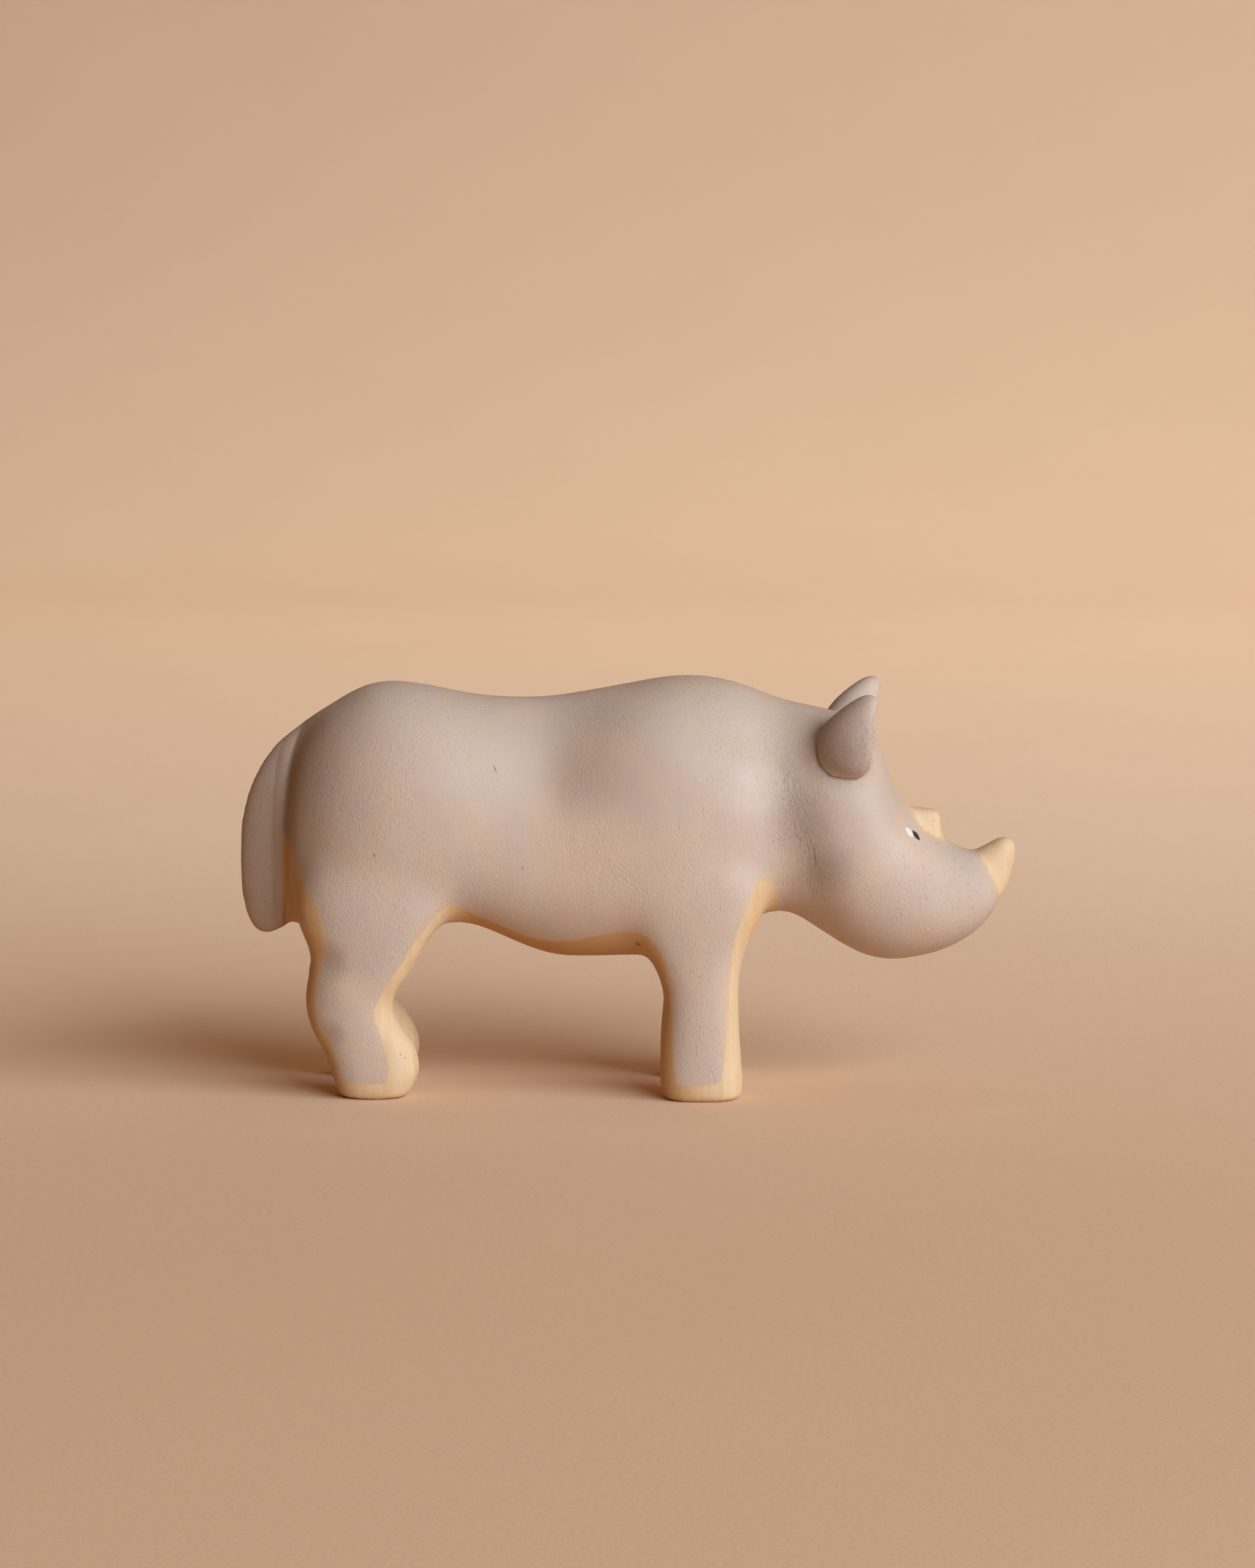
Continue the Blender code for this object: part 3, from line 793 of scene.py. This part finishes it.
def paintedCreaseShade(tree, wood, covered):
    # painted shade: a little in the bottom of the cuts, and more on the haunch beside the tail
    crease = wood["crease"]
    creaseShade = product(tree, stretched(tree, maths(tree, "ABSOLUTE", crease), 0.0, tail["creaseShadeReachMm"],
                                    tail["creaseShadeShare"], 0.0, soft=True),
                    stretched(tree, wood["z"], *tail["creaseShadeAboveMm"], soft=True), wood["creaseShare"])
    haunchShade = product(tree, stretched(tree, crease, -tail["haunchShadeReachMm"], 0.0, 0.0, tail["haunchShadeShare"]),
                     stretched(tree, crease, 0.0, tail["haunchShadePastMm"], 1.0, 0.0, soft=True),
                     stretched(tree, wood["z"], *tail["haunchShadeAboveMm"], tail["haunchShadeLowShare"], 1.0,
                               soft=True),
                     product(tree, covered, stretched(tree, wood["x"], *tail["haunchShadeBehindMm"], 1.0, 0.0)))
    return maths(tree, "MAXIMUM", creaseShade, haunchShade)


def smallMarks(tree, wood, colour):
    # a small knot in the belly, then the fine dark fibres
    knot = stretched(tree, distance(tree, wood["mm"], marks["knotMm"]), *marks["knotSizeMm"],
                     marks["knotShare"], 0.0, soft=True)
    colour = blended(tree, knot, colour, marks["knotColour"])
    for x, z, lean, width, length, share in marks["fibres"]:
        shape = spot(tree, wood, (x, z), (width, length), lean, marks["fibrePowers"])
        inside = stretched(tree, shape, *marks["fibreEdge"], share, 0.0, soft=True)
        colour = blended(tree, product(tree, inside, wood["nearSide"]), colour, marks["fibreColour"])
    return colour


def paintedEyes(tree, wood, colour):
    # a white patch on each cheek, then the dark almond over its lower end
    for part in ("white", "dark"):
        shape = spot(tree, wood, eye[part + "PlaceMm"], eye[part + "SizeMm"], eye["leanDegrees"],
                     eye[part + "Powers"])
        colour = blended(tree, stretched(tree, shape, *eye["edge"], 1.0, 0.0), colour, eye[part + "Colour"])
    return colour


def furrowDepth(tree, wood):
    topX, topZ = furrows["topMm"]
    slid = maths(tree, "ADD", wood["x"], product(tree, wood["z"], furrows["lean"]))
    beside = maths(tree, "ABSOLUTE", maths(tree, "SUBTRACT", slid, topX + furrows["lean"] * topZ))
    low, high, fade = furrows["lowestMm"], furrows["highestMm"], furrows["fadeMm"]
    band = product(tree, stretched(tree, beside, furrows["fullWidthShare"] * furrows["halfWidthMm"],
                                   furrows["halfWidthMm"], 1.0, 0.0, soft=True),
                   stretched(tree, wood["z"], low - fade, low + fade, soft=True),
                   stretched(tree, wood["z"], high - fade, high + fade, 1.0, 0.0, soft=True))
    place = joined(tree, slid, 0.0, product(tree, wood["z"], furrows["squeeze"]))
    grooves = stretched(tree, noise(tree, place, *furrows["noise"]), *furrows["level"], soft=True)
    return product(tree, grooves, band, furrows["depthMm"], wood["nearSide"])


def relief(tree, wood, rough, covered):
    # raised grain and open pores, flatter on the bare wood, with the furrows and the tail's edge
    height = product(tree, aboutMiddle(tree, wood["grain"]), finish["grainHeightMm"])
    height = maths(tree, "ADD", height, product(tree, wood["ridges"], finish["ridgeHeightMm"]))
    height = maths(tree, "SUBTRACT", height, product(tree, wood["pores"], finish["pitHeightMm"]))
    height = product(tree, height, rough, stretched(tree, covered, 0.0, 1.0, finish["bareRelief"], 1.0))
    height = maths(tree, "SUBTRACT", height, furrowDepth(tree, wood))
    step = product(tree, stretched(tree, wood["crease"], *tail["stepRiseMm"], 0.0, tail["stepMm"], soft=True),
                   stretched(tree, wood["crease"], *tail["stepFallMm"], 1.0, 0.0, soft=True),
                   wood["creaseShare"])
    return maths(tree, "ADD", height, step)


def stainedWood():
    made, tree, shader = newMaterial("stainedLimewood")
    wood = woodPatterns(tree)
    rough = roughAreas(tree, wood)
    covered = coveredShare(tree, wood)
    colour = blended(tree, covered, bareTone(tree, wood), stainTone(tree, wood))
    # painted shade in the cuts and on the haunch beside the tail
    colour = blended(tree, paintedCreaseShade(tree, wood, covered), colour, tail["creaseShadeColour"])
    colour = paintedEyes(tree, wood, smallMarks(tree, wood, colour))
    tree.links.new(colour, shader.inputs["Base Color"])

    # a dull stain, duller where the wood is rough
    gloss = maths(tree, "ADD", finish["roughness"],
                  product(tree, rough, finish["roughnessOfArea"]))
    gloss = maths(tree, "ADD", gloss, product(tree, wood["grain"], finish["roughnessOfGrain"]))
    tree.links.new(gloss, shader.inputs["Roughness"])
    height = relief(tree, wood, rough, covered)
    bump = addNode(tree, "ShaderNodeBump", {"Height": height, "Distance": 1 / perMetre, "Strength": 1.0})
    tree.links.new(bump.outputs[0], shader.inputs["Normal"])
    return made


limewood = stainedWood()
rhinoceros = mergedCopy(frame["nodes"]["rhinoceros"])
fineSkin(rhinoceros)
smoothedBody(rhinoceros)
addToolMarks(rhinoceros, limewood)
pressHollows(rhinoceros)
cutCreases(rhinoceros)
keptInBox(rhinoceros)
markStainEdge(rhinoceros)
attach(rhinoceros, "root")
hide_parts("rhinoceros")
print("carved body:", len(rhinoceros.data.polygons), "faces")


# the paper sweep

paper = {
    "halfWidth": 3.0,
    "front": -3.0,
    "bendStart": 1.05,
    "bendRadius": 0.6,
    "top": 2.4,
    "bendSteps": 24,
    "nearTone": (0.756, 0.466, 0.268, 1),
    "farTone": (0.878, 0.632, 0.420, 1),
    "wallTone": (0.520, 0.342, 0.214, 1),
    "toneDepth": (-0.20, 0.40),      # painted light: the sheet is painted lighter between these two
    "wallDepth": (0.9, 1.7),         # and painted shade darkens it again up the bend
    "mottle": (0.94, 0.93, 0.92, 1),
    "mottleNoise": (9.0, 4.0, 0.6, 1.0),     # scale per metre, detail, roughness, seed
    "toothNoise": (900.0, 2.0, 0.5, 2.0),
    "toothHeight": 0.00006,
    "roughness": 0.8,
}


def tanPaper():
    made, tree, shader = newMaterial("tanPaper")
    place = addNode(tree, "ShaderNodeTexCoord").outputs["Object"]
    depth = split(tree, place)[1]
    # painted light and shade on the sheet: darker in front, lighter behind and darker again up the bend
    tone = blended(tree, stretched(tree, depth, *paper["toneDepth"], soft=True),
                   paper["nearTone"], paper["farTone"])
    tone = blended(tree, stretched(tree, depth, *paper["wallDepth"], soft=True), tone, paper["wallTone"])
    tone = blended(tree, noise(tree, place, *paper["mottleNoise"]), tone, paper["mottle"], "MULTIPLY")
    tree.links.new(tone, shader.inputs["Base Color"])
    shader.inputs["Roughness"].default_value = paper["roughness"]
    tooth = noise(tree, place, *paper["toothNoise"])
    bump = addNode(tree, "ShaderNodeBump",
                   {"Height": tooth, "Distance": paper["toothHeight"], "Strength": 1.0})
    tree.links.new(bump.outputs[0], shader.inputs["Normal"])
    return made


def paperSweep():
    profile = [(paper["front"], 0.0), (paper["bendStart"], 0.0)]
    for step in range(1, paper["bendSteps"] + 1):
        turn = math.pi / 2 * step / paper["bendSteps"]
        profile.append((paper["bendStart"] + paper["bendRadius"] * math.sin(turn),
                        paper["bendRadius"] * (1 - math.cos(turn))))
    profile.append((profile[-1][0], paper["top"]))
    shape = bmesh.new()
    rows = [[shape.verts.new((side * paper["halfWidth"], y, z)) for side in (-1, 1)] for y, z in profile]
    for near, far in zip(rows, rows[1:]):
        shape.faces.new((near[0], near[1], far[1], far[0]))
    mesh = bpy.data.meshes.new("paperSweep")
    shape.to_mesh(mesh)
    shape.free()
    mesh.shade_smooth()
    mesh.materials.append(tanPaper())
    made = bpy.data.objects.new("paperSweep", mesh)
    scene.collection.objects.link(made)
    return made


paperSweep()
print("paper sweep laid")


# the light

studio = {
    "fillColour": (1.0, 0.41, 0.02, 1),
    "fillStrength": 0.142,
    "keyPlace": (1.95, -1.82, 1.33),
    "keyAim": (0, 0, 0.04),
    "keySize": (3.2, 2.2),
    "keyWatts": 133,
    "keyColour": (0.860, 1.025, 1.215),
    "washPlace": (0.45, 0.75, 1.5),
    "washAim": (0.3, 1.35, 0.25),
    "washSize": (1.6, 0.8),
    "washWatts": 4.7,
    "washColour": (1.0, 0.97, 0.92),
    "washSpreadDegrees": 110,
}


def softLight(name, kind):
    lamp = bpy.data.lights.new(name, "AREA")
    lamp.shape = "RECTANGLE"
    lamp.size, lamp.size_y = studio[kind + "Size"]
    lamp.energy = studio[kind + "Watts"]
    lamp.color = studio[kind + "Colour"]
    made = bpy.data.objects.new(name, lamp)
    made.location = studio[kind + "Place"]
    away = Vector(studio[kind + "Aim"]) - Vector(studio[kind + "Place"])
    made.rotation_euler = away.to_track_quat("-Z", "Y").to_euler()
    scene.collection.objects.link(made)
    return made


room = bpy.data.worlds.new("warmRoom")
room.use_nodes = True
room.node_tree.nodes["Background"].inputs["Color"].default_value = studio["fillColour"]
room.node_tree.nodes["Background"].inputs["Strength"].default_value = studio["fillStrength"]
scene.world = room
softLight("windowSide", "key")
wash = softLight("backdropWash", "wash")
wash.data.spread = math.radians(studio["washSpreadDegrees"])
scene.view_settings.view_transform = "Standard"
print("studio lit")


# the camera, at the photograph's angle

view = {
    "width": 1725,
    "height": 2156,
    "azimuth": 0.6,
    "elevation": 7.5,
    "distance": 1.1,
    "aim": (0.0, 0.0, 0.044),
    "aimPixel": (862.0, 1202.5),
    "metresPerPixel": 0.00015,       # at the aim
    "sensor": 36.0,
    "clip": (0.05, 20),
}


def photoCamera():
    turn, tilt = math.radians(view["azimuth"]), math.radians(view["elevation"])
    away = Vector((-math.sin(turn) * math.cos(tilt), math.cos(turn) * math.cos(tilt), -math.sin(tilt)))
    right = Vector((math.cos(turn), math.sin(turn), 0))
    up = right.cross(away)
    offX = (view["aimPixel"][0] - view["width"] / 2) * view["metresPerPixel"]
    offY = (view["aimPixel"][1] - view["height"] / 2) * view["metresPerPixel"]
    lens = bpy.data.cameras.new("photoCamera")
    lens.sensor_width = view["sensor"]
    lens.lens = view["sensor"] * view["distance"] / view["metresPerPixel"] / view["height"]
    lens.clip_start, lens.clip_end = view["clip"]
    made = bpy.data.objects.new("photoCamera", lens)
    place = Vector(view["aim"]) - away * view["distance"] - right * offX + up * offY
    made.matrix_world = Matrix.Translation(place) @ Matrix((right, up, -away)).transposed().to_4x4()
    scene.collection.objects.link(made)
    scene.camera = made


photoCamera()
print("camera placed")
